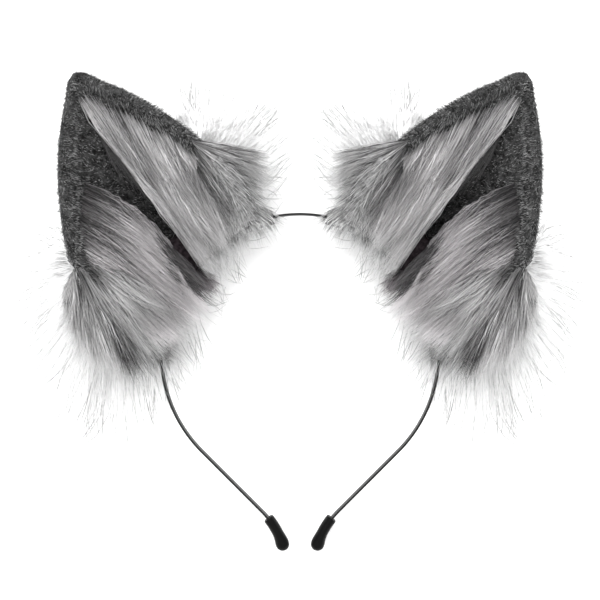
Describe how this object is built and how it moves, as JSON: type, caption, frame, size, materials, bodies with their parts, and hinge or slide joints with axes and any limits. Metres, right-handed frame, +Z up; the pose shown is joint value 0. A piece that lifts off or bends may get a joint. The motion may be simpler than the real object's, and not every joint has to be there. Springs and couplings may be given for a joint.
{
  "type": "wolf ear headband",
  "caption": "Headband with cupped plush wolf ears, pale fur inside them and long black-tipped fur round their feet, on a thin steel hoop with rubber end caps.",
  "frame": {"origin": "on the surface that the headband lies on, under the middle of its box", "axes": "+Z up, away from the surface; +Y towards the tips of the ears; +X to the right of someone who looks at the fronts of the ears with their tips away from them"},
  "size_m": [0.248, 0.208, 0.0429],
  "materials": {
    "hoop_steel": "thin spring strip, satin, with darker rolled edges",
    "cap_rubber": "soft black moulded rubber",
    "plush": "short charcoal plush with a mottled pile",
    "lining": "dark short plush inside the ear",
    "inner_fur": "long light grey faux fur in locks",
    "collar_fur": "long faux fur, grey at the root, white further out, with black tips"
  },
  "bodies": {
    "root": {"hoop": "hoop_steel", "end_cap_left": "cap_rubber", "end_cap_right": "cap_rubber", "ear_shell_left": "plush", "ear_shell_right": "plush", "ear_lining_left": "lining", "ear_lining_right": "lining", "upper_tuft_left": "inner_fur", "upper_tuft_right": "inner_fur", "lower_tuft_left": "inner_fur", "lower_tuft_right": "inner_fur", "fur_collar_left": "collar_fur", "fur_collar_right": "collar_fur"}
  },
  "joints": []
}
